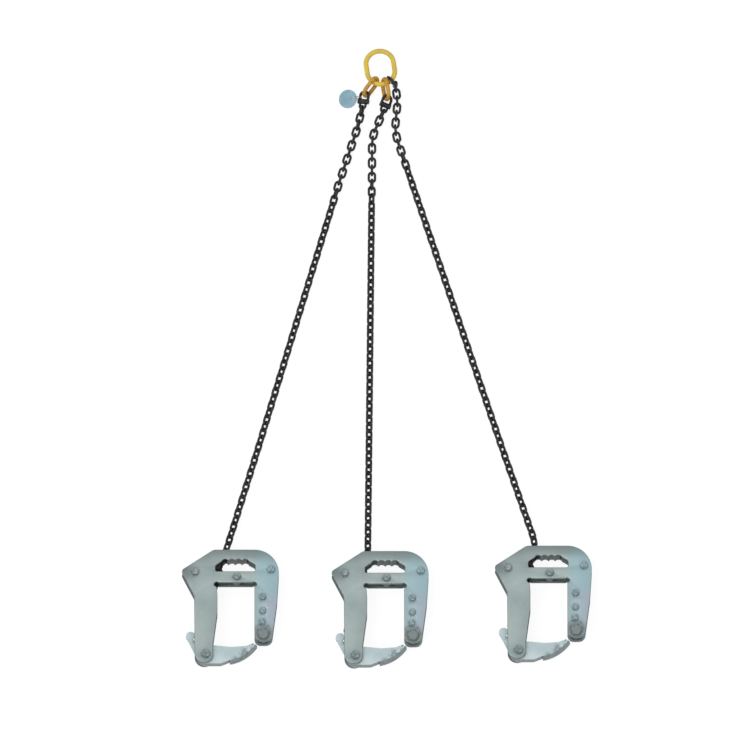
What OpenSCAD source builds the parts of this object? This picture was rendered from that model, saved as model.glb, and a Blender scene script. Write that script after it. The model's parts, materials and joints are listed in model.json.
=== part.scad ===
// Three-leg chain sling with lifting clamps for concrete pipes and shaft rings.
// It lies flat: +Z is up from the floor, +Y runs to the master link.
// The chains are walked link by link from the top, and each clamp sits at its chain's end.

/* [Chain] */
// wire diameter of the chain in mm
chain_wire = 8; // [7:0.5:9]
// inside length of a chain link in mm
chain_inside = 24; // [22:0.5:27]
// inside width of a chain link in mm
chain_width = 12; // [11:0.5:14]
// play between neighbouring links in mm
link_play = 0.4; // [0.3:0.1:0.8]
// height of a rolled chain link's centre above the floor in mm
chain_lift = 11.6; // [11:0.1:16]

/* [Top rings] */
// bar diameter of the master link in mm
master_bar = 16; // [14:0.5:18]
// inside length of the master link in mm
master_inside = 100; // [90:1:130]
// inside width of the master link in mm
master_width = 72; // [66:1:90]
// bar diameter of a sub-link in mm
sub_bar = 13; // [11:0.5:13]
// inside length of a sub-link in mm
sub_inside = 54; // [50:1:70]
// inside width of a sub-link in mm
sub_width = 26; // [25:0.5:34]
// play between the bars of the top rings in mm
ring_play = 0.8; // [0.6:0.1:1.5]
// roll of the sub-links out of the floor plane in degrees
sub_roll = 70; // [68:1:75]

/* [Coupling links] */
// bar diameter of a coupling link's upper half in mm
coupling_bar = 9; // [8.5:0.5:10]
// bar diameter of a coupling link's lower half in mm
coupling_thin = 8; // [7.5:0.5:9]
// inside width of a coupling link's upper half in mm
coupling_width = 19; // [18.5:0.5:21]
// distance from the pin to the upper bar's centre in mm
coupling_up = 33; // [33:0.5:36]
// distance from the pin to the lower bar's centre in mm
coupling_down = 24; // [24:0.5:28]
// diameter of the eyes around the coupling pin in mm
coupling_eye = 17; // [16:0.5:19]
// diameter of the coupling pin in mm
coupling_pin_size = 8; // [7:0.5:9]
// radial clearance of the coupling pin in the lower half in mm
pin_fit = 0.05; // [0.02:0.01:0.1]
// side clearance between the two halves in mm
eye_play = 0.4; // [0.3:0.1:0.8]

/* [Identity tag] */
// diameter of the tag in mm
tag_size = 60; // [50:1:64]
// thickness of the tag in mm
tag_thickness = 3; // [2:0.5:3]
// diameter of the tag's hole in mm
tag_hole = 7; // [6.5:0.5:9]
// distance from the tag's hole centre to its edge in mm
tag_rim = 8; // [7.5:0.5:8.5]
// wire diameter of the tag's ring in mm
tag_wire = 3; // [2.5:0.5:3]
// radius of the ring to the middle of its wire in mm
tag_ring_radius = 12.5; // [12:0.1:13.5]

/* [Clamp plates] */
// thickness of a clamp plate in mm
plate_thickness = 12; // [10:0.5:15]
// gap between the two plates in mm
plate_gap = 40; // [38:1:46]
// inside face of the right arm, from the clamp's own zero, in mm
arm_face = 227.7; // [222:0.5:232]
// inside top of the throat, from the clamp's own zero, in mm
throat_top = 274.6; // [270:0.5:280]
// radius of the throat's relief corners in mm
relief_radius = 8; // [5:0.5:10]
// radius of the plate's top right corner in mm
shoulder_radius = 77.5; // [60:0.5:80]
// spacing of the finger scallops in the handle slot in mm
finger_pitch = 21.5; // [18:0.5:22]
// radius of a finger scallop in mm
finger_radius = 13; // [12:0.5:18]

/* [Clamp fasteners] */
// diameter of the frame bolts in mm
frame_bolt = 14; // [12:1:18]
// diameter of the fixed jaw's bolts in mm
jaw_bolt = 12; // [10:1:14]
// diameter of the bolt at the arm's end in mm
end_bolt = 20; // [16:1:22]
// diameter of the pivot bolt in mm
pivot_bolt_size = 16; // [14:1:24]
// radial clearance of a bolt in a plate in mm
bolt_fit = 0.1; // [0.05:0.01:0.3]
// radial clearance of the pivot bolt in the lever in mm
pivot_fit = 0.05; // [0.02:0.01:0.1]
// washer thickness in mm
washer = 2.5; // [1.5:0.5:3]
// diameter of the spacer sleeves in mm
sleeve_size = 36; // [28:1:36]

/* [Jaw lever] */
// thickness of the jaw lever in mm
lever_thickness = 36; // [30:0.5:37]
// thickness of the lever's tail in mm
tail_thickness = 9.5; // [8:0.5:10]
// diameter of the hole that the last link passes through in mm
tail_hole = 14; // [13.5:0.5:15]
// thickness of the rough grip strip in mm
grip_thickness = 7; // [5:0.5:9]
// number of grooves in the grip strip
grip_grooves = 13; // [5:1:16]
// depth of a groove in mm
groove_depth = 1.6; // [1:0.1:2]

/* [Hidden] */

// shift that centres the whole part on the floor
middle_x = 58.77;
middle_y = 1027.08;

bolt_black = [0.30, 0.31, 0.32];
zinc = [0.63, 0.69, 0.67];
bright = [0.72, 0.76, 0.78];
chain_colour = [0.10, 0.10, 0.11];
yellow = [0.86, 0.68, 0.16];
amber = [0.85, 0.55, 0.12];

// directions: a heading of 0 runs toward -Y, positive headings lean to +X, slopes rise
function along(h, s = 0) = [sin(h) * cos(s), -cos(h) * cos(s), sin(s)];
function across(h) = [cos(h), sin(h), 0];

// link chain
bend = (chain_width + chain_wire) / 2;
straight = chain_inside + chain_wire - 2 * bend;
pitch = chain_inside - link_play;
crown_reach = (chain_inside + chain_wire) / 2;
first_reach = chain_inside / 2 - coupling_thin / 2 - link_play;

// the top rings' places
master_at = [38, 1988.3];
master_turn = 8;
sub_bend = (sub_width + sub_bar) / 2;
sub_height = sub_bend * sin(sub_roll) + sub_bar / 2;
master_half = (master_inside + master_bar) / 2;
master_bend = (master_width + master_bar) / 2;
master_rise = 1.6;
master_tilt = asin((sub_height + master_rise - master_bar / 2) / (2 * master_half));
master_height = (sub_height + master_rise + master_bar / 2) / 2;

function spin_z(v, a) = [v[0] * cos(a) - v[1] * sin(a), v[0] * sin(a) + v[1] * cos(a), v[2]];
function spin_x(v, a) = [v[0], v[1] * cos(a) - v[2] * sin(a), v[1] * sin(a) + v[2] * cos(a)];
// a point on the middle of the master link's lower bar, phi degrees round from its lowest point
function on_master(phi) = [master_at[0], master_at[1], master_height] + spin_z(
  spin_x([master_bend * sin(phi), -(master_half - master_bend) - master_bend * cos(phi), 0],
    -master_tilt), master_turn);

left_phi = -38;
left_sub_heading = -36;
middle_phi = 8;
middle_sub_heading = 9;
right_phi = 38;
function sub_centre(phi, h) =
  on_master(phi) + (sub_inside / 2 - master_bar / 2 - ring_play) * along(h);
left_sub = sub_centre(left_phi, left_sub_heading);
middle_sub = sub_centre(middle_phi, middle_sub_heading);
sub_crown = (sub_inside + sub_bar) / 2;

left_heading = -10;
middle_heading = -18;
right_heading = 44;
// the right coupling's lower half is turned on its pin
right_fold = 36;
left_roll = sub_roll - 90;
middle_roll = 90 - sub_roll;
right_roll = 90;
function coupling_pin_at(bar_at, bar, h) =
  bar_at + (coupling_up - (bar + coupling_bar) / 2 - ring_play) * along(h);
left_pin = coupling_pin_at(left_sub + sub_crown * along(left_sub_heading), sub_bar, left_heading);
middle_pin =
  coupling_pin_at(middle_sub + sub_crown * along(middle_sub_heading), sub_bar, middle_heading);
right_pin = coupling_pin_at(on_master(right_phi), master_bar, right_heading);

left_start = left_pin + coupling_down * along(left_heading);
middle_start = middle_pin + coupling_down * along(middle_heading);
right_start = right_pin + coupling_down * along(right_heading - right_fold);

// heights of the chain: on edge near the top, rolled along the floor, at the clamp
edge_lift = bend + chain_wire / 2 + 0.6;
nut = 11;
clamp_height = nut + plate_thickness + plate_gap / 2;

// each run of links is its count, its heading and its rise
left_runs = [[1, -13, 0], [2, -14, (edge_lift - left_start[2]) / 2],
  [8, -18, (edge_lift - left_start[2]) / 2], [4, -16.43, chain_lift - edge_lift],
  [35, -16.43, 0], [14, -16.43, clamp_height - chain_lift], [1, -18, 0], [13, -18.26, 0]];
middle_runs = [[1, -22, 0], [2, -24, (edge_lift - middle_start[2]) / 2], [1, -15, 0], [1, -6, 0],
  [3, 0, (edge_lift - middle_start[2]) / 2], [2, -0.6, 0],
  [4, -0.6, chain_lift - edge_lift], [34, -0.6, 0], [14, -0.6, clamp_height - chain_lift],
  [1, -7, 0], [1, -12, 0], [11, -14.1, 0]];
right_runs = [[1, 8, 0], [1, 2, (edge_lift - right_start[2]) / 3],
  [1, -6, (edge_lift - right_start[2]) / 3], [2, -5, (edge_lift - right_start[2]) / 3],
  [1, 5, 0], [1, 13, 0], [2, 18, 0], [4, 18.2, chain_lift - edge_lift], [40, 18.2, 0],
  [13, 18.2, clamp_height - chain_lift], [1, 8, 0], [1, -3, 0], [1, -12, 0], [11, -16.96, 0]];

function run_links(runs) = [for (r = runs) for (k = [1 : r[0]]) [r[1], asin(r[2] / (r[0] * pitch))]];
function run_places(links, start) = let (n = len(links))
  [for (i = 0, c = start + first_reach * along(links[0][0], links[0][1]); i < n;
    c = c + pitch / 2 * (along(links[i][0], links[i][1])
      + along(links[min(i + 1, n - 1)][0], links[min(i + 1, n - 1)][1])), i = i + 1) c];
left_links = run_links(left_runs);
middle_links = run_links(middle_runs);
right_links = run_links(right_runs);
left_places = run_places(left_links, left_start);
middle_places = run_places(middle_links, middle_start);
right_places = run_places(right_links, right_start);
function chain_end(links, places) = let (n = len(links) - 1)
  places[n] + crown_reach * along(links[n][0], links[n][1]);
left_end = chain_end(left_links, left_places);
middle_end = chain_end(middle_links, middle_places);
right_end = chain_end(right_links, right_places);

// extra roll along each chain, by link number, on top of the quarter turn per link
left_twist = [[0, 0], [4, 20], [10, 20], [14, 65], [64, 65], [69, 110], [79, 110]];
middle_twist = [[0, 0], [4, -20], [9, -20], [13, 25], [62, 25], [67, -20], [79, -20]];
right_twist = [[0, 0], [8, 0], [12, 45], [66, 45], [71, 0], [81, 0]];

module lay() translate([-middle_x, -middle_y, 0]) children();

// an oblong ring of round bar, long way along Y
module oblong(inside, width, bar) {
  r = (width + bar) / 2;
  side = inside + bar - 2 * r;
  for (s = [0, 1]) mirror([0, s, 0]) translate([0, side / 2, 0])
    rotate_extrude(angle = 180, $fn = 48) translate([r, 0]) circle(d = bar, $fn = 24);
  for (s = [-1, 1]) translate([s * r, 0, 0])
    rotate([90, 0, 0]) cylinder(d = bar, h = side, center = true, $fn = 24);
}

// puts a piece that runs along -Y at a place, with its heading, slope and roll
module set(place, h, s = 0, roll = 0)
  translate(place) rotate([0, 0, h]) rotate([-s, 0, 0]) rotate([0, roll, 0]) children();

module chain(links, places, twist, first_roll, from, to)
  for (i = [from : to])
    set(places[i], links[i][0], links[i][1], first_roll + 90 * (i % 2) + lookup(i, twist))
      oblong(chain_inside, chain_width, chain_wire);

module master_link() color(yellow) lay()
  translate([master_at[0], master_at[1], master_height]) rotate([0, 0, master_turn])
    rotate([-master_tilt, 0, 0]) oblong(master_inside, master_width, master_bar);
module sub_link_left() color(amber) lay()
  set(left_sub, left_sub_heading, 0, sub_roll) oblong(sub_inside, sub_width, sub_bar);
module sub_link_middle() color(amber) lay()
  set(middle_sub, middle_sub_heading, 0, -sub_roll) oblong(sub_inside, sub_width, sub_bar);

// one half of a coupling link: a bow of round bar with its arms running down to the pin
module bow(reach, width, bar) {
  r = (width + bar) / 2;
  translate([0, reach - r, 0])
    rotate_extrude(angle = 180, $fn = 48) translate([r, 0]) circle(d = bar, $fn = 24);
  for (s = [-1, 1]) translate([s * r, 0, 0])
    rotate([-90, 0, 0]) cylinder(d = bar, h = reach - r, $fn = 24);
}
half_hub = coupling_width / 2 - eye_play / 2;
eye_out = coupling_width / 2 + coupling_bar;
module coupling_upper() {
  difference() {
    union() {
      bow(coupling_up, coupling_width, coupling_bar);
      for (s = [-1, 1]) translate([s * (coupling_width / 2 + coupling_bar / 2 - 0.3), 0, 0])
        rotate([0, 90, 0]) cylinder(d = coupling_eye, h = coupling_bar - 1, center = true, $fn = 48);
    }
    rotate([0, 90, 0]) cylinder(d = coupling_pin_size, h = 60, center = true, $fn = 36);
    rotate([0, 90, 0]) cylinder(d = coupling_eye + 2 * eye_play, h = coupling_width + 0.4,
      center = true, $fn = 48);
  }
}
module coupling_lower() {
  difference() {
    union() {
      mirror([0, 1, 0]) bow(coupling_down, chain_width - 1, coupling_thin);
      rotate([0, 90, 0]) cylinder(d = coupling_eye, h = 2 * half_hub, center = true, $fn = 48);
    }
    rotate([0, 90, 0])
      cylinder(d = coupling_pin_size + 2 * pin_fit, h = 60, center = true, $fn = 36);
    for (s = [-1, 1]) translate([s * (half_hub + 10), 0, 0]) rotate([0, 90, 0])
      cylinder(d = coupling_eye + 2 * eye_play, h = 20, center = true, $fn = 48);
  }
}
module coupling_pin()
  rotate([0, 90, 0]) cylinder(d = coupling_pin_size, h = 2 * eye_out, center = true, $fn = 36);

module coupling_upper_left() color(chain_colour) lay()
  set(left_pin, left_heading, 0, left_roll) coupling_upper();
module coupling_lower_left() color(chain_colour) lay()
  set(left_pin, left_heading, 0, left_roll) coupling_lower();
module coupling_pin_left() color(bolt_black) lay()
  set(left_pin, left_heading, 0, left_roll) coupling_pin();
module coupling_upper_middle() color(chain_colour) lay()
  set(middle_pin, middle_heading, 0, middle_roll) coupling_upper();
module coupling_lower_middle() color(chain_colour) lay()
  set(middle_pin, middle_heading, 0, middle_roll) coupling_lower();
module coupling_pin_middle() color(bolt_black) lay()
  set(middle_pin, middle_heading, 0, middle_roll) coupling_pin();
module coupling_upper_right() color(chain_colour) lay()
  set(right_pin, right_heading, 0, right_roll) coupling_upper();
module coupling_lower_right() color(chain_colour) lay()
  set(right_pin, right_heading - right_fold, 0, right_roll) coupling_lower();
module coupling_pin_right() color(bolt_black) lay()
  set(right_pin, right_heading, 0, right_roll) coupling_pin();

// the tag's ring stands round the left coupling link's lower arm
arm_out = (coupling_width + coupling_bar) / 2;
ring_limb = left_pin - (coupling_eye / 2 + tag_wire / 2 + 0.7) * along(left_heading)
  - arm_out * (cos(left_roll) * across(left_heading) - [0, 0, sin(left_roll)]);
ring_shift = tag_ring_radius - tag_wire / 2 - coupling_bar / 2 - 0.5;
ring_at = ring_limb - ring_shift * across(left_heading);
tag_hole_at = ring_at - tag_ring_radius * across(left_heading);
tag_turn = 12;
tag_tilt = asin((tag_hole_at[2] - tag_thickness / 2 - 0.3) / (tag_size - tag_rim + 2));
module tag_ring() color(bright) lay()
  translate(ring_at) rotate([0, 0, left_heading]) rotate([90, 0, 0])
    rotate_extrude($fn = 48) translate([tag_ring_radius, 0]) circle(d = tag_wire, $fn = 24);
module id_tag() color([0.62, 0.72, 0.78]) lay()
  translate(tag_hole_at) rotate([0, 0, tag_turn]) rotate([0, -tag_tilt, 0]) difference() {
    translate([tag_rim - tag_size / 2, 0, 0])
      cylinder(d = tag_size, h = tag_thickness, center = true, $fn = 96);
    cylinder(d = tag_hole, h = 3 * tag_thickness, center = true, $fn = 36);
  }

module leg_left(from, to) color(chain_colour) lay()
  chain(left_links, left_places, left_twist, left_roll - 90, from, to);
module leg_middle(from, to) color(chain_colour) lay()
  chain(middle_links, middle_places, middle_twist, middle_roll - 90, from, to);
module leg_right(from, to) color(chain_colour) lay()
  chain(right_links, right_places, right_twist, 0, from, to);
module chain_left_1() leg_left(0, 15);
module chain_left_2() leg_left(16, 31);
module chain_left_3() leg_left(32, 47);
module chain_left_4() leg_left(48, 61);
module chain_left_5() leg_left(62, 77);
module chain_middle_1() leg_middle(0, 14);
module chain_middle_2() leg_middle(15, 29);
module chain_middle_3() leg_middle(30, 44);
module chain_middle_4() leg_middle(45, 57);
module chain_middle_5() leg_middle(58, 74);
module chain_right_1() leg_right(0, 15);
module chain_right_2() leg_right(16, 31);
module chain_right_3() leg_right(32, 47);
module chain_right_4() leg_right(48, 61);
module chain_right_5() leg_right(62, 79);

// outlines: each corner is x, y and the radius that rounds it
function unit(v) = v / norm(v);
function corner_arc(a, b, c, r) = let (
    d1 = unit(a - b), d2 = unit(c - b), half = acos(d1 * d2) / 2,
    p1 = b + d1 * r / tan(half), p2 = b + d2 * r / tan(half),
    o = b + unit(d1 + d2) * r / sin(half),
    a1 = atan2(p1[1] - o[1], p1[0] - o[0]), a2 = atan2(p2[1] - o[1], p2[0] - o[0]),
    turn = a2 - a1 > 180 ? a2 - a1 - 360 : a2 - a1 < -180 ? a2 - a1 + 360 : a2 - a1,
    n = ceil(abs(turn) / 6))
  [for (i = [0 : n]) o + r * [cos(a1 + turn * i / n), sin(a1 + turn * i / n)]];
function flat(p) = [p[0], p[1]];
function rounded(p) = let (n = len(p)) [for (i = [0 : n - 1]) each
  p[i][2] == 0 ? [flat(p[i])]
    : corner_arc(flat(p[(i + n - 1) % n]), flat(p[i]), flat(p[(i + 1) % n]), p[i][2])];

// clamp, in its own frame: x to the right, y up the clamp, z to the front
apex_bolt_at = [38, 309.6];
shoulder_bolt_at = [280.8, 317];
bar_bolt_at = [171, 293];
jaw_bolts_at = [[253.7, 226.6], [253.4, 180.3], [252.1, 144.7]];
end_bolt_at = [255.7, 101.7];
pivot_at = [72, 38];
tail_at = [39.5, 94.3];
tail_nose_at = [24, 102.7];
handle_top = 347;
handle_middle = 167;
plate_outline = [[-7.4, 314.4, 12], [97, 383, 30], [310.5, 383, shoulder_radius], [299.8, 209, 60],
  [283, 80, 22], [arm_face, 80, 20], [arm_face, throat_top, 0], [106, throat_top, 0],
  [109.5, 232, 25], [109.5, 178, 60], [94.5, 66, 40], [96, 10, 27], [37, 10, 31], [35.1, 232, 25]];
slot_outline = [[102.7, 311.3, 5], [230.2, 311.3, 5], [230.2, 334, 8], [206, handle_top, 8],
  [127, handle_top, 8], [102.7, 330, 8]];

module fingers(depth) for (i = [-1.5 : 1 : 1.5])
  translate([handle_middle + i * finger_pitch, handle_top - finger_radius + 5, -1])
    cylinder(r = finger_radius, h = depth, $fn = 48);

module plate() difference() {
  linear_extrude(plate_thickness) polygon(rounded(plate_outline));
  translate([0, 0, -1]) linear_extrude(plate_thickness + 2) polygon(rounded(slot_outline));
  fingers(plate_thickness + 2);
  for (x = [106 + 0.5, arm_face - 0.5]) translate([x, throat_top - relief_radius + 2, -1])
    cylinder(r = relief_radius, h = plate_thickness + 2, $fn = 36);
  for (p = [apex_bolt_at, shoulder_bolt_at, bar_bolt_at]) translate([p[0], p[1], -1])
    cylinder(d = frame_bolt + 2 * bolt_fit, h = plate_thickness + 2, $fn = 36);
  for (p = jaw_bolts_at) translate([p[0], p[1], -1])
    cylinder(d = jaw_bolt + 2 * bolt_fit, h = plate_thickness + 2, $fn = 36);
  translate([end_bolt_at[0], end_bolt_at[1], -1])
    cylinder(d = end_bolt + 2 * bolt_fit, h = plate_thickness + 2, $fn = 36);
  translate([pivot_at[0], pivot_at[1], -1])
    cylinder(d = pivot_bolt_size + 2 * bolt_fit, h = plate_thickness + 2, $fn = 36);
}

// a bolt through both plates, with its head and washer in front and its nut behind
module bolt(size) {
  across_flats = size * 1.5;
  front = plate_gap / 2 + plate_thickness;
  translate([0, 0, -front - nut]) cylinder(d = size, h = 2 * front + nut + washer, $fn = 36);
  translate([0, 0, front]) cylinder(d = across_flats * 1.25, h = washer, $fn = 48);
  translate([0, 0, front + washer]) intersection() {
    cylinder(d = across_flats / cos(30), h = size * 0.55, $fn = 6);
    cylinder(r1 = across_flats * 0.5 + size * 0.55, r2 = across_flats * 0.5, h = size * 0.55,
      $fn = 48);
  }
  translate([0, 0, -front - nut + 1.5]) cylinder(d = across_flats / cos(30), h = nut - 1.5, $fn = 6);
}

function circle_centre(a, b, c) = let (
    d = 2 * (a[0] * (b[1] - c[1]) + b[0] * (c[1] - a[1]) + c[0] * (a[1] - b[1])))
  [((a * a) * (b[1] - c[1]) + (b * b) * (c[1] - a[1]) + (c * c) * (a[1] - b[1])) / d,
    ((a * a) * (c[0] - b[0]) + (b * b) * (a[0] - c[0]) + (c * c) * (b[0] - a[0])) / d];
// the gripping edge is an arc through three points of the lever's lower right edge
grip_end = [236, 69];
grip_start = [150, 14.5];
cam_at = circle_centre(grip_end, [204, 37], grip_start);
cam_radius = norm(grip_end - cam_at);
cam_from = atan2(grip_start[1] - cam_at[1], grip_start[0] - cam_at[0]);
cam_to = atan2(grip_end[1] - cam_at[1], grip_end[0] - cam_at[0]);
function cam(a, r) = cam_at + r * [cos(a), sin(a)];
cam_steps = 16;
seat = cam_radius - grip_thickness;
lever_outline = concat([[9.5, 100], [36, 48], [52, 20], [80, 10], [120, 10]],
  [for (i = [0 : cam_steps]) cam(cam_from + (cam_to - cam_from) * i / cam_steps, seat)],
  [[224, 77], [201.3, 68], [155.2, 64.5], [99.8, 70], [66, 76], [50, 90]]);
body_outline = concat([[44, 46], [52, 20], [80, 10], [120, 10]],
  [for (i = [0 : cam_steps]) cam(cam_from + (cam_to - cam_from) * i / cam_steps, seat)],
  [[224, 77], [201.3, 68], [155.2, 64.5], [99.8, 70], [62, 68]]);

module jaw_lever() difference() {
  union() {
    translate([0, 0, -tail_thickness / 2]) linear_extrude(tail_thickness) polygon(lever_outline);
    for (p = [tail_nose_at, tail_at]) translate([p[0], p[1], -tail_thickness / 2])
      cylinder(r = 15.5, h = tail_thickness, $fn = 48);
    translate([0, 0, -lever_thickness / 2]) linear_extrude(lever_thickness) polygon(body_outline);
    translate([pivot_at[0], pivot_at[1], -lever_thickness / 2])
      cylinder(r = 29, h = lever_thickness, $fn = 72);
  }
  translate([tail_at[0], tail_at[1], -tail_thickness]) cylinder(d = tail_hole, h = 30, $fn = 36);
  translate([pivot_at[0], pivot_at[1], -lever_thickness])
    cylinder(d = pivot_bolt_size + 2 * pivot_fit, h = 2 * lever_thickness, $fn = 48);
}

module jaw_grip() difference() {
  translate([0, 0, -lever_thickness / 2]) linear_extrude(lever_thickness) polygon(concat(
    [for (i = [0 : cam_steps]) cam(cam_from + (cam_to - cam_from) * i / cam_steps, cam_radius)],
    [for (i = [cam_steps : -1 : 0]) cam(cam_from + (cam_to - cam_from) * i / cam_steps, seat)]));
  for (i = [0.5 : 1 : grip_grooves - 0.5])
    translate(concat(cam(cam_from + (cam_to - cam_from) * i / grip_grooves, cam_radius), [0]))
      rotate([0, 0, cam_from + (cam_to - cam_from) * i / grip_grooves + 45])
        cube([groove_depth * 1.41, groove_depth * 1.41, 2 * lever_thickness], center = true);
}

module pivot_bolt()
  translate([pivot_at[0], pivot_at[1], 0]) bolt(pivot_bolt_size);
module frame_bolts()
  for (p = [apex_bolt_at, shoulder_bolt_at, bar_bolt_at]) translate([p[0], p[1], 0]) bolt(frame_bolt);
module jaw_bolts() {
  for (p = jaw_bolts_at) translate([p[0], p[1], 0]) bolt(jaw_bolt);
  translate([end_bolt_at[0], end_bolt_at[1], 0]) bolt(end_bolt);
}
module sleeve(p, size) translate([p[0], p[1], -plate_gap / 2]) difference() {
  cylinder(d = sleeve_size, h = plate_gap, $fn = 48);
  translate([0, 0, -1]) cylinder(d = size + 2 * bolt_fit, h = plate_gap + 2, $fn = 36);
}
module spacers() {
  for (p = [apex_bolt_at, shoulder_bolt_at, bar_bolt_at]) sleeve(p, frame_bolt);
  sleeve(end_bolt_at, end_bolt);
}
module handle_grip() translate([0, 0, -plate_gap / 2]) difference() {
  linear_extrude(plate_gap) polygon([[139, handle_top], [203, handle_top], [203, 378], [153, 378]]);
  fingers(plate_gap + 2);
}
module fixed_jaw() translate([0, 0, -plate_gap / 2]) difference() {
  linear_extrude(plate_gap) polygon(rounded([[arm_face, 120, 10], [276, 120, 14], [280, 252, 14],
    [arm_face, 252, 3]]));
  for (p = jaw_bolts_at) translate([p[0], p[1], -1])
    cylinder(d = jaw_bolt + 2 * bolt_fit, h = plate_gap + 2, $fn = 36);
}

// sets a clamp so that its lever's tail hole is at the chain's end
module clamp_at(end) lay()
  translate([end[0] - tail_at[0], end[1] - tail_at[1], clamp_height]) children();
module front_plate(end) color(zinc) clamp_at(end) translate([0, 0, plate_gap / 2]) plate();
module rear_plate(end) color(zinc) clamp_at(end)
  translate([0, 0, -plate_gap / 2 - plate_thickness]) plate();

module front_plate_left() front_plate(left_end);
module rear_plate_left() rear_plate(left_end);
module jaw_lever_left() color(bright) clamp_at(left_end) jaw_lever();
module jaw_grip_left() color(bolt_black) clamp_at(left_end) jaw_grip();
module pivot_bolt_left() color(bright) clamp_at(left_end) pivot_bolt();
module frame_bolts_left() color(bright) clamp_at(left_end) frame_bolts();
module jaw_bolts_left() color(bright) clamp_at(left_end) jaw_bolts();
module spacers_left() color(zinc) clamp_at(left_end) spacers();
module handle_grip_left() color(zinc) clamp_at(left_end) handle_grip();
module fixed_jaw_left() color(bright) clamp_at(left_end) fixed_jaw();
module front_plate_middle() front_plate(middle_end);
module rear_plate_middle() rear_plate(middle_end);
module jaw_lever_middle() color(bright) clamp_at(middle_end) jaw_lever();
module jaw_grip_middle() color(bolt_black) clamp_at(middle_end) jaw_grip();
module pivot_bolt_middle() color(bright) clamp_at(middle_end) pivot_bolt();
module frame_bolts_middle() color(bright) clamp_at(middle_end) frame_bolts();
module jaw_bolts_middle() color(bright) clamp_at(middle_end) jaw_bolts();
module spacers_middle() color(zinc) clamp_at(middle_end) spacers();
module handle_grip_middle() color(zinc) clamp_at(middle_end) handle_grip();
module fixed_jaw_middle() color(bright) clamp_at(middle_end) fixed_jaw();
module front_plate_right() front_plate(right_end);
module rear_plate_right() rear_plate(right_end);
module jaw_lever_right() color(bright) clamp_at(right_end) jaw_lever();
module jaw_grip_right() color(bolt_black) clamp_at(right_end) jaw_grip();
module pivot_bolt_right() color(bright) clamp_at(right_end) pivot_bolt();
module frame_bolts_right() color(bright) clamp_at(right_end) frame_bolts();
module jaw_bolts_right() color(bright) clamp_at(right_end) jaw_bolts();
module spacers_right() color(zinc) clamp_at(right_end) spacers();
module handle_grip_right() color(zinc) clamp_at(right_end) handle_grip();
module fixed_jaw_right() color(bright) clamp_at(right_end) fixed_jaw();

master_link();
sub_link_left();
sub_link_middle();
coupling_upper_left();
coupling_lower_left();
coupling_pin_left();
coupling_upper_middle();
coupling_lower_middle();
coupling_pin_middle();
coupling_upper_right();
coupling_lower_right();
coupling_pin_right();
tag_ring();
id_tag();
chain_left_1();
chain_left_2();
chain_left_3();
chain_left_4();
chain_left_5();
chain_middle_1();
chain_middle_2();
chain_middle_3();
chain_middle_4();
chain_middle_5();
chain_right_1();
chain_right_2();
chain_right_3();
chain_right_4();
chain_right_5();
front_plate_left();
rear_plate_left();
jaw_lever_left();
jaw_grip_left();
pivot_bolt_left();
frame_bolts_left();
jaw_bolts_left();
spacers_left();
handle_grip_left();
fixed_jaw_left();
front_plate_middle();
rear_plate_middle();
jaw_lever_middle();
jaw_grip_middle();
pivot_bolt_middle();
frame_bolts_middle();
jaw_bolts_middle();
spacers_middle();
handle_grip_middle();
fixed_jaw_middle();
front_plate_right();
rear_plate_right();
jaw_lever_right();
jaw_grip_right();
pivot_bolt_right();
frame_bolts_right();
jaw_bolts_right();
spacers_right();
handle_grip_right();
fixed_jaw_right();
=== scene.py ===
"""A chain sling with three pipe clamps, lying flat on a white studio floor."""
import json
import math

import bpy
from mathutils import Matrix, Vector


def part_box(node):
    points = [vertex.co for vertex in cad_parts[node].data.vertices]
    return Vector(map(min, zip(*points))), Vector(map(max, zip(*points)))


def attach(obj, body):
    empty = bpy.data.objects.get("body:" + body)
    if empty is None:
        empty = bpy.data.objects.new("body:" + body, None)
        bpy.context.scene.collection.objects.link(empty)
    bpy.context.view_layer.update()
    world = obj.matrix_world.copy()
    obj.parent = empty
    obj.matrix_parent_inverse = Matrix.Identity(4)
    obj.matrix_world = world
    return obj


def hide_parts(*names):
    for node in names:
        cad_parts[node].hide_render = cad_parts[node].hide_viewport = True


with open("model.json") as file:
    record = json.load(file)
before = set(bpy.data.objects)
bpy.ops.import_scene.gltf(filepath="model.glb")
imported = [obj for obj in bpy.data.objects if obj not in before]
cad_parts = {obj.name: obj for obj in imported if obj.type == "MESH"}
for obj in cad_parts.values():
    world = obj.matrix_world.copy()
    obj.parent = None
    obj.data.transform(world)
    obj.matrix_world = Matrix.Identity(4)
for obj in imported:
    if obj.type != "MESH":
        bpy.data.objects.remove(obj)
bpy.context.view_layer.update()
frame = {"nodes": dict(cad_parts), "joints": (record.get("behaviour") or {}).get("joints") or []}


# The photographer's camera hangs high above the sling on a long lens, so the three clamps look alike
# and nothing tapers. It leans back by fifteen degrees, which shows the rear plates below the front ones.
MM = 0.001
camera_lean = math.radians(75)
picture_width = 2396 * MM
camera_distance = 6
picture_middle = Vector((-38 * MM, -56 * MM, 20 * MM))
camera_data = bpy.data.cameras.new("studio_camera")
camera_data.type = "ORTHO"
camera_data.ortho_scale = picture_width
camera_data.clip_end = 100
camera = bpy.data.objects.new("studio_camera", camera_data)
bpy.context.scene.collection.objects.link(camera)
towards_camera = Vector((0, -math.cos(camera_lean), math.sin(camera_lean)))
camera.location = picture_middle + towards_camera * camera_distance
camera.rotation_euler = (-towards_camera).to_track_quat("-Z", "Y").to_euler()
bpy.context.scene.camera = camera
bpy.context.scene.view_settings.view_transform = "Standard"


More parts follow.
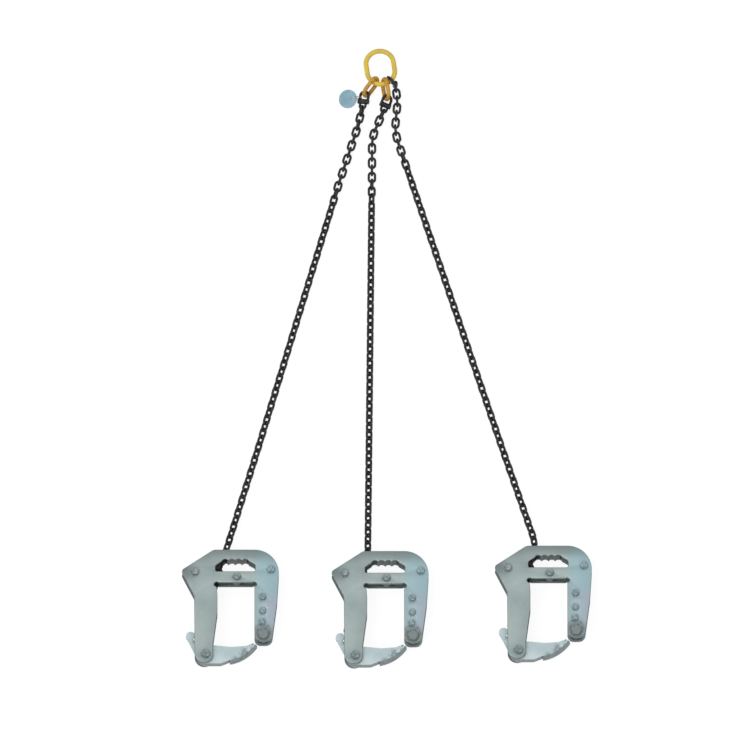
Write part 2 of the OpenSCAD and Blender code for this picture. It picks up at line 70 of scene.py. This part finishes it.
def put(tree, kind, inputs=None, **settings):
    """Adds a shader node with its settings, and fills its inputs with numbers or other nodes' outputs."""
    made = tree.nodes.new("ShaderNode" + kind)
    for name, value in settings.items():
        setattr(made, name, value)
    for name, value in (inputs or {}).items():
        if isinstance(value, bpy.types.NodeSocket):
            tree.links.new(value, made.inputs[name])
        else:
            made.inputs[name].default_value = value
    return made


# The floor is a white paper sweep. It stays white in the picture and in the metal's reflections,
# and keeps a soft shadow under the sling.
paper = bpy.data.materials.new("white_paper")
paper.use_nodes = True
tree = paper.node_tree
tree.nodes.clear()
light_path = put(tree, "LightPath")
seen = put(tree, "Math", {0: light_path.outputs["Is Camera Ray"], 1: light_path.outputs["Is Glossy Ray"]},
           operation="MAXIMUM")
seen = put(tree, "Math", {0: seen.outputs[0], 1: light_path.outputs["Is Transmission Ray"]},
           operation="MAXIMUM")
share = put(tree, "Math", {0: seen.outputs[0], 1: 0.82}, operation="MULTIPLY")
matt = put(tree, "BsdfDiffuse", {"Color": (0.93, 0.93, 0.93, 1)})
glow = put(tree, "Emission", {"Color": (1, 1, 1, 1), "Strength": 1.08})
mixed = put(tree, "MixShader", {0: share.outputs[0], 1: matt.outputs[0], 2: glow.outputs[0]})
put(tree, "OutputMaterial", {"Surface": mixed.outputs[0]})
bpy.ops.mesh.primitive_plane_add(size=14, location=(0, 0, -0.2 * MM))
floor = bpy.context.object
floor.name = "studio_floor"
floor.data.materials.append(paper)

# Soft light comes from a bright ceiling that fades to grey low down, so rounded edges show darker,
# with a broad lamp over the left shoulder, far enough away to light the three clamps alike.
world = bpy.data.worlds.new("studio_light")
bpy.context.scene.world = world
world.use_nodes = True
tree = world.node_tree
tree.nodes.clear()
direction = put(tree, "TexCoord")
height = put(tree, "SeparateXYZ", {0: direction.outputs["Generated"]})
ceiling = put(tree, "MapRange", {0: height.outputs["Z"], 1: 0.1, 2: 0.9, 3: 0.36, 4: 0.95},
              interpolation_type="SMOOTHSTEP")
light_path = put(tree, "LightPath")
strength = put(tree, "Mix", {0: light_path.outputs["Is Camera Ray"], 2: ceiling.outputs[0], 3: 1.0})
colour = put(tree, "Mix", {0: light_path.outputs["Is Camera Ray"], 6: (0.97, 0.985, 1.0, 1), 7: (1, 1, 1, 1)},
             data_type="RGBA")
sky = put(tree, "Background", {"Color": colour.outputs[2], "Strength": strength.outputs[0]})
put(tree, "OutputWorld", {"Surface": sky.outputs[0]})
key_data = bpy.data.lights.new("key_lamp", "SUN")
key_data.energy = 0.8
key_data.angle = math.radians(35)
key = bpy.data.objects.new("key_lamp", key_data)
key.rotation_euler = Vector((0.5, 0.35, -1)).to_track_quat("-Z", "Y").to_euler()
bpy.context.scene.collection.objects.link(key)


# The master link is forged and powder-coated a golden yellow, and the two sub-links a deeper amber.
# The coat has a fine orange-peel skin, duller patches, and dark chips where the links rub.
def metal_material(name, metallic, roughness):
    """A material with a Principled shader, and the tree and shader to finish it with."""
    made = bpy.data.materials.new(name)
    made.use_nodes = True
    shader = made.node_tree.nodes["Principled BSDF"]
    shader.inputs["Metallic"].default_value = metallic
    shader.inputs["Roughness"].default_value = roughness
    return made, made.node_tree, shader


def noise(tree, place, scale, detail=3.0, roughness=0.5):
    return put(tree, "TexNoise", {"Vector": place, "Scale": scale, "Detail": detail,
                                  "Roughness": roughness}).outputs["Fac"]


def between(tree, value, low, high, at_low=0.0, at_high=1.0):
    return put(tree, "MapRange", {0: value, 1: low, 2: high, 3: at_low, 4: at_high},
               interpolation_type="SMOOTHSTEP").outputs[0]


def tint(tree, share, first, second):
    return put(tree, "Mix", {0: share, 6: first, 7: second}, data_type="RGBA").outputs[2]


def bump(tree, shader, height, strength, distance):
    made = put(tree, "Bump", {"Height": height, "Strength": strength, "Distance": distance})
    tree.links.new(made.outputs[0], shader.inputs["Normal"])


def powder_coat(name, bright, deep, chip_edge):
    made, tree, shader = metal_material(name, 0.0, 0.36)
    place = put(tree, "TexCoord").outputs["Object"]
    cloud = between(tree, noise(tree, place, 28, 4), 0.35, 0.68)
    coat = tint(tree, cloud, bright, deep)
    chips = between(tree, noise(tree, place, 210, 5, 0.62), chip_edge, chip_edge + 0.025)
    tree.links.new(tint(tree, chips, coat, (0.05, 0.042, 0.036, 1)), shader.inputs["Base Color"])
    dull = between(tree, noise(tree, place, 90, 3), 0.3, 0.7, 0.28, 0.46)
    tree.links.new(dull, shader.inputs["Roughness"])
    bump(tree, shader, noise(tree, place, 620, 2), 0.16, 0.4 * MM)
    return made


golden = powder_coat("golden_coat", (0.76, 0.54, 0.055, 1), (0.62, 0.44, 0.07, 1), 0.70)
amber = powder_coat("amber_coat", (0.64, 0.33, 0.022, 1), (0.40, 0.17, 0.018, 1), 0.60)


nodes = frame["nodes"]


def dress(node, made):
    """Gives a CAD node its finish."""
    nodes[node].data.materials.clear()
    nodes[node].data.materials.append(made)


dress("master_link", golden)
dress("sub_link_left", amber)
dress("sub_link_middle", amber)

# The coupling halves and the chains are hardened steel under thin black lacquer, worn to grey
# where the links bear on each other. Each half-link's pin is left dark as it was driven in.
black_lacquer, tree, shader = metal_material("black_lacquer", 0.35, 0.4)
place = put(tree, "TexCoord").outputs["Object"]
worn = between(tree, noise(tree, place, 120, 5, 0.6), 0.56, 0.72)
shade = tint(tree, noise(tree, place, 45, 3), (0.007, 0.007, 0.008, 1), (0.028, 0.028, 0.03, 1))
tree.links.new(tint(tree, worn, shade, (0.085, 0.085, 0.088, 1)), shader.inputs["Base Color"])
tree.links.new(between(tree, noise(tree, place, 160, 3), 0.3, 0.7, 0.3, 0.55), shader.inputs["Roughness"])
bump(tree, shader, noise(tree, place, 420, 4), 0.25, 0.5 * MM)
for node in nodes:
    if node.startswith(("chain_", "coupling_")):
        dress(node, black_lacquer)

# The identity tag is a round disc of pale blue-grey anodised aluminium, bare on both faces,
# and hangs on a plain wire ring.
tag_sheet, tree, shader = metal_material("anodised_sheet", 0.55, 0.38)
place = put(tree, "TexCoord").outputs["Object"]
cloud = between(tree, noise(tree, place, 60, 3), 0.3, 0.7)
tree.links.new(tint(tree, cloud, (0.205, 0.33, 0.395, 1), (0.26, 0.40, 0.465, 1)),
               shader.inputs["Base Color"])
grain = put(tree, "Mapping", {"Vector": place, "Scale": (60, 1400, 60)})
bump(tree, shader, noise(tree, grain.outputs[0], 1, 2), 0.05, 0.2 * MM)
dress("id_tag", tag_sheet)
ring_wire, tree, shader = metal_material("ring_wire", 0.9, 0.32)
place = put(tree, "TexCoord").outputs["Object"]
tree.links.new(tint(tree, noise(tree, place, 150, 3), (0.30, 0.34, 0.36, 1), (0.48, 0.52, 0.54, 1)),
               shader.inputs["Base Color"])
dress("tag_ring", ring_wire)


# Each clamp's two plates are flame-cut steel, dipped in zinc. The zinc is grey-green with cloudy
# patches, turns bluer on the right arm, and is smeared dark round the bolts. Painted shade darkens the
# upper edge, the left tip, the bottom end, the arm's end and the rims, and a painted highlight lightens the
# upper arm.
sides = ("left", "middle", "right")
joints = {joint["name"]: joint for joint in frame["joints"]}
pivot_from_zero = Vector((72, 38, 0)) * MM
bolt_places = {"apex": (38, 309.6), "shoulder": (280.8, 317), "bar": (171, 293), "jaw_high": (253.7, 226.6),
               "jaw_middle": (253.4, 180.3), "jaw_low": (252.1, 144.7), "pivot": (72, 38)}
arm_end = (255.7, 101.7)
plate_edge = 2.4 * MM


def clamp_zero(side):
    """The clamp's own zero, worked out from its pivot."""
    return Vector(joints["clamp_%s_pivot" % side]["pos_m"]) - pivot_from_zero


def from_zero(tree, side):
    """A clamp's own coordinates in metres, so that the three clamps carry the same pattern."""
    place = put(tree, "TexCoord").outputs["Object"]
    return put(tree, "Mapping", {"Vector": place, "Location": -clamp_zero(side)}).outputs[0]


def near(tree, local, point, inner, outer):
    """One inside a circle round a point given in millimetres, and nought outside it."""
    centre = (point[0] * MM, point[1] * MM, 0)
    flat = put(tree, "VectorMath", {0: local, 1: (1, 1, 0)}, operation="MULTIPLY").outputs[0]
    away = put(tree, "VectorMath", {0: flat, 1: centre}, operation="DISTANCE").outputs["Value"]
    return between(tree, away, inner * MM, outer * MM, 1.0, 0.0)


def largest(tree, values):
    total = values[0]
    for value in values[1:]:
        total = put(tree, "Math", {0: total, 1: value}, operation="MAXIMUM").outputs[0]
    return total


def times(tree, first, second):
    return put(tree, "Math", {0: first, 1: second}, operation="MULTIPLY").outputs[0]


def zinc_tone(tree, local):
    """Cloudy grey-green zinc that turns blue on the right arm, for the plates and the bolts in them."""
    cloud = between(tree, noise(tree, local, 9, 4, 0.55), 0.32, 0.7)
    zinc = tint(tree, cloud, (0.30, 0.365, 0.355, 1), (0.375, 0.44, 0.425, 1))
    across = put(tree, "SeparateXYZ", {0: local}).outputs["X"]
    zinc = tint(tree, between(tree, across, 205 * MM, 262 * MM), zinc, (0.335, 0.475, 0.505, 1))
    lilac = largest(tree, [near(tree, local, (292, 200), 8, 60), near(tree, local, (284, 140), 6, 46)])
    return tint(tree, times(tree, lilac, 0.75), zinc, (0.405, 0.44, 0.505, 1))


def band(tree, local, point, middle, width):
    """A soft ring round a point, in millimetres, pushed out of true by noise."""
    wander = put(tree, "TexNoise", {"Vector": local, "Scale": 55.0, "Detail": 2.0}).outputs["Color"]
    pushed = put(tree, "VectorMath", {0: wander, 1: (0.5, 0.5, 0.5)}, operation="SUBTRACT").outputs[0]
    pushed = put(tree, "VectorMath", {0: pushed, "Scale": 14 * MM}, operation="SCALE").outputs[0]
    moved = put(tree, "VectorMath", {0: local, 1: pushed}, operation="ADD").outputs[0]
    inside = near(tree, moved, point, middle, middle + width)
    hole = near(tree, moved, point, middle - width, middle)
    return put(tree, "Math", {0: inside, 1: hole}, operation="SUBTRACT", use_clamp=True).outputs[0]


def painted_edge_shade(tree, zinc, share):
    """Painted shade: the zinc drawn darker where a rolled edge turns away from the front."""
    facing = put(tree, "SeparateXYZ", {0: put(tree, "NewGeometry").outputs["Normal"]}).outputs["Z"]
    steep = put(tree, "Math", {0: facing}, operation="ABSOLUTE").outputs[0]
    return tint(tree, between(tree, steep, 0.35, 0.97, share, 0.0), zinc, (0.11, 0.13, 0.13, 1))


def zinc_plate(side, inner_painted_shade):
    """The finish of one clamp's plates. The faces that look at the other plate can be given painted shade,
    for the shadow in the gap between the two plates.
    """
    made, tree, shader = metal_material("zinc_%s_%s" % ("rear" if inner_painted_shade else "front", side), 0.72, 0.42)
    local = from_zero(tree, side)
    axes = put(tree, "SeparateXYZ", {0: local})
    zinc = zinc_tone(tree, local)
    strip_across = times(tree, between(tree, axes.outputs["X"], 238 * MM, 241 * MM),
                         between(tree, axes.outputs["X"], 267 * MM, 270 * MM, 1, 0))
    strip_along = times(tree, between(tree, axes.outputs["Y"], 126 * MM, 136 * MM),
                        between(tree, axes.outputs["Y"], 203 * MM, 207 * MM, 1, 0))
    strip = times(tree, times(tree, strip_across, strip_along), 0.35)
    zinc = tint(tree, strip, zinc, (0.50, 0.60, 0.62, 1))
    # Painted shade: the zinc darkens towards the upper edge, and below at the left tip and the bottom end.
    painted_shade_top_edge = times(tree, between(tree, axes.outputs["Y"], 330 * MM, 382 * MM), 0.62)
    # Painted highlight: a lighter patch on the upper arm.
    painted_highlight_arm_top = near(tree, local, (78, 262), 10, 62)
    zinc = tint(tree, times(tree, painted_highlight_arm_top, 0.6), zinc, (0.41, 0.485, 0.475, 1))
    painted_shade_spots = [painted_shade_top_edge, times(tree, near(tree, local, (-4, 312), 4, 60), 0.85),
               times(tree, near(tree, local, (66, 14), 6, 50), 0.25)]
    zinc = tint(tree, largest(tree, painted_shade_spots), zinc, (0.15, 0.18, 0.18, 1))
    rings = [near(tree, local, point, 7, 18) for point in bolt_places.values()]
    smear = times(tree, largest(tree, rings), between(tree, noise(tree, local, 160, 4), 0.35, 0.7))
    zinc = tint(tree, times(tree, smear, 0.7), zinc, (0.12, 0.155, 0.16, 1))
    # Painted shade at the arm's end: a plain darker disc, and a darker patch broken up by noise.
    end_noise = between(tree, noise(tree, local, 70, 5, 0.65), 0.30, 0.56)
    end_painted_shade = times(tree, near(tree, local, arm_end, 18, 48), end_noise)
    zinc = tint(tree, times(tree, near(tree, local, arm_end, 24, 46), 0.6), zinc, (0.27, 0.30, 0.29, 1))
    zinc = tint(tree, times(tree, end_painted_shade, 0.6), zinc, (0.13, 0.15, 0.15, 1))
    swirl = largest(tree, [band(tree, local, arm_end, 20, 4), band(tree, local, (252, 108), 27, 4)])
    zinc = tint(tree, times(tree, swirl, 0.45), zinc, (0.12, 0.14, 0.14, 1))
    specks = between(tree, noise(tree, local, 380, 4, 0.7), 0.66, 0.74)
    zinc = tint(tree, times(tree, specks, 0.5), zinc, (0.15, 0.18, 0.18, 1))
    # Painted shade on the edges that turn away from the front.
    zinc = painted_edge_shade(tree, zinc, 0.75)
    # Painted shade: faces that look towards the other plate are darkened for the shadow between the plates,
    # except near the arm's end.
    if inner_painted_shade:
        facing = put(tree, "SeparateXYZ", {0: put(tree, "NewGeometry").outputs["Normal"]}).outputs["Z"]
        arm_end_unshaded = near(tree, local, arm_end, 26, 60)
        painted_shade_share = put(tree, "Math", {0: between(tree, facing, -0.6, 0.3, 0.0, 0.92), 1: arm_end_unshaded},
                    operation="SUBTRACT", use_clamp=True).outputs[0]
        zinc = tint(tree, painted_shade_share, zinc, (0.10, 0.125, 0.125, 1))
    tree.links.new(zinc, shader.inputs["Base Color"])
    spangle = put(tree, "TexVoronoi", {"Vector": local, "Scale": 260}, feature="F1")
    grain = put(tree, "SeparateColor", {0: spangle.outputs["Color"]}).outputs[0]
    skin = put(tree, "Math", {0: grain, 1: noise(tree, local, 30, 3)}, operation="ADD").outputs[0]
    tree.links.new(between(tree, skin, 0.4, 1.6, 0.36, 0.52), shader.inputs["Roughness"])
    bump(tree, shader, noise(tree, local, 300, 5, 0.6), 0.22, 0.5 * MM)
    return made


def rolled_plate(node, edge, finish):
    """The node's plate with rounded edges: its flat face's outline becomes a filled curve with a bevel."""
    low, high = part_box(node)
    plate = bpy.data.objects.new(node + "_rolled", nodes[node].data.copy())
    bpy.context.scene.collection.objects.link(plate)
    bpy.ops.object.select_all(action="DESELECT")
    plate.select_set(True)
    bpy.context.view_layer.objects.active = plate
    bpy.ops.object.mode_set(mode="EDIT")
    bpy.ops.mesh.select_mode(type="FACE")
    bpy.ops.mesh.select_all(action="SELECT")
    bpy.ops.mesh.remove_doubles(threshold=0.01 * MM)
    bpy.ops.mesh.select_all(action="DESELECT")
    bpy.ops.object.mode_set(mode="OBJECT")
    for face in plate.data.polygons:
        face.select = face.normal.z < 0.99 or face.center.z < high.z - 0.1 * MM
    bpy.ops.object.mode_set(mode="EDIT")
    bpy.ops.mesh.delete(type="FACE")
    bpy.ops.mesh.select_all(action="SELECT")
    bpy.ops.mesh.region_to_loop()
    bpy.ops.mesh.select_all(action="INVERT")
    bpy.ops.mesh.delete(type="EDGE")
    bpy.ops.object.mode_set(mode="OBJECT")
    bpy.ops.object.convert(target="CURVE")
    curve = bpy.context.object
    curve.data.dimensions = "2D"
    curve.data.fill_mode = "BOTH"
    curve.data.extrude = (high.z - low.z) / 2 - edge
    curve.data.bevel_depth = edge
    curve.data.bevel_resolution = 2
    curve.data.offset = -edge
    curve.location.z = (low.z + high.z) / 2
    bpy.ops.object.convert(target="MESH")
    bpy.ops.object.transform_apply(location=True, rotation=True, scale=True)
    plate = bpy.context.object
    bpy.ops.object.mode_set(mode="EDIT")
    bpy.ops.mesh.select_all(action="SELECT")
    bpy.ops.mesh.remove_doubles(threshold=0.005 * MM)
    bpy.ops.mesh.normals_make_consistent(inside=False)
    bpy.ops.object.mode_set(mode="OBJECT")
    bpy.ops.object.shade_smooth_by_angle(angle=math.radians(35))
    plate.data.materials.clear()
    plate.data.materials.append(finish)
    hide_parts(node)
    return plate


for side in sides:
    for which, inner_painted_shade in (("front_plate_", False), ("rear_plate_", True)):
        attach(rolled_plate(which + side, plate_edge, zinc_plate(side, inner_painted_shade)), "clamp_" + side)


# The jaw lever is a thick forging, zinc-plated a paler blue-grey. It is dark and rough at its tip and
# along the edge that presses on the concrete, where the hard grip strip sits.
lever_edge = 1.8 * MM


def lever_zinc(side):
    made, tree, shader = metal_material("lever_zinc_" + side, 0.6, 0.42)
    local = from_zero(tree, side)
    cloud = between(tree, noise(tree, local, 14, 4, 0.55), 0.32, 0.7)
    zinc = tint(tree, cloud, (0.45, 0.545, 0.565, 1), (0.56, 0.66, 0.67, 1))
    patches = between(tree, noise(tree, local, 55, 5, 0.62), 0.42, 0.6)
    edge_zone = largest(tree, [near(tree, local, (232, 64), 12, 44), near(tree, local, (205, 40), 10, 36),
                               near(tree, local, (172, 18), 6, 26), near(tree, local, (30, 88), 4, 14)])
    zinc = tint(tree, times(tree, times(tree, edge_zone, patches), 0.9), zinc, (0.15, 0.18, 0.185, 1))
    # Painted shade on the edges that turn away from the front.
    tree.links.new(painted_edge_shade(tree, zinc, 0.8), shader.inputs["Base Color"])
    tree.links.new(between(tree, noise(tree, local, 60, 3), 0.3, 0.7, 0.36, 0.54), shader.inputs["Roughness"])
    bump(tree, shader, noise(tree, local, 240, 5, 0.6), 0.3, 0.7 * MM)
    return made


def soften(node, width):
    """Rounds the node's sharp edges a little, after its doubled corners are welded."""
    weld = nodes[node].modifiers.new("weld", "WELD")
    weld.merge_threshold = 0.01 * MM
    rounding = nodes[node].modifiers.new("rounding", "BEVEL")
    rounding.width = width
    rounding.segments = 2
    rounding.limit_method = "ANGLE"
    rounding.angle_limit = math.radians(50)


grip_steel, tree, shader = metal_material("grip_steel", 0.6, 0.55)
place = put(tree, "TexCoord").outputs["Object"]
tree.links.new(tint(tree, noise(tree, place, 90, 4), (0.10, 0.12, 0.125, 1), (0.34, 0.40, 0.41, 1)),
               shader.inputs["Base Color"])
bump(tree, shader, noise(tree, place, 260, 5), 0.4, 0.8 * MM)
for side in sides:
    dress("jaw_lever_" + side, lever_zinc(side))
    soften("jaw_lever_" + side, lever_edge)
    dress("jaw_grip_" + side, grip_steel)

# Bolts, washers and nuts carry the same zinc as the plates they sit in, with more dirt, and the big
# bolt at the arm's end is greyer; their edges get painted shade. The spacer sleeves, the finger block in the
# handle slot and the fixed jaw stand between the plates in duller zinc, painted near black as painted shade
# for the gap between the plates.
def bolt_zinc(side):
    made, tree, shader = metal_material("bolt_zinc_" + side, 0.72, 0.45)
    local = from_zero(tree, side)
    dirt = between(tree, noise(tree, local, 150, 5, 0.65), 0.42, 0.58)
    zinc = tint(tree, times(tree, dirt, 0.7), zinc_tone(tree, local), (0.12, 0.15, 0.155, 1))
    zinc = tint(tree, times(tree, near(tree, local, arm_end, 22, 28), 0.8), zinc, (0.21, 0.225, 0.215, 1))
    # Painted shade on the edges that turn away from the front.
    tree.links.new(painted_edge_shade(tree, zinc, 0.4), shader.inputs["Base Color"])
    dull = between(tree, noise(tree, local, 220, 3), 0.3, 0.7, 0.36, 0.52)
    tree.links.new(dull, shader.inputs["Roughness"])
    return made


inner_zinc_painted_shade, tree, shader = metal_material("inner_zinc_painted_shade", 0.6, 0.5)
place = put(tree, "TexCoord").outputs["Object"]
cloud = between(tree, noise(tree, place, 40, 4, 0.6), 0.35, 0.68)
tree.links.new(tint(tree, cloud, (0.043, 0.052, 0.052, 1), (0.086, 0.10, 0.10, 1)),
               shader.inputs["Base Color"])
bump(tree, shader, noise(tree, place, 220, 4), 0.25, 0.5 * MM)
for side in sides:
    finish = bolt_zinc(side)
    for which in ("pivot_bolt_", "frame_bolts_", "jaw_bolts_"):
        dress(which + side, finish)
    for which in ("spacers_", "handle_grip_", "fixed_jaw_"):
        dress(which + side, inner_zinc_painted_shade)
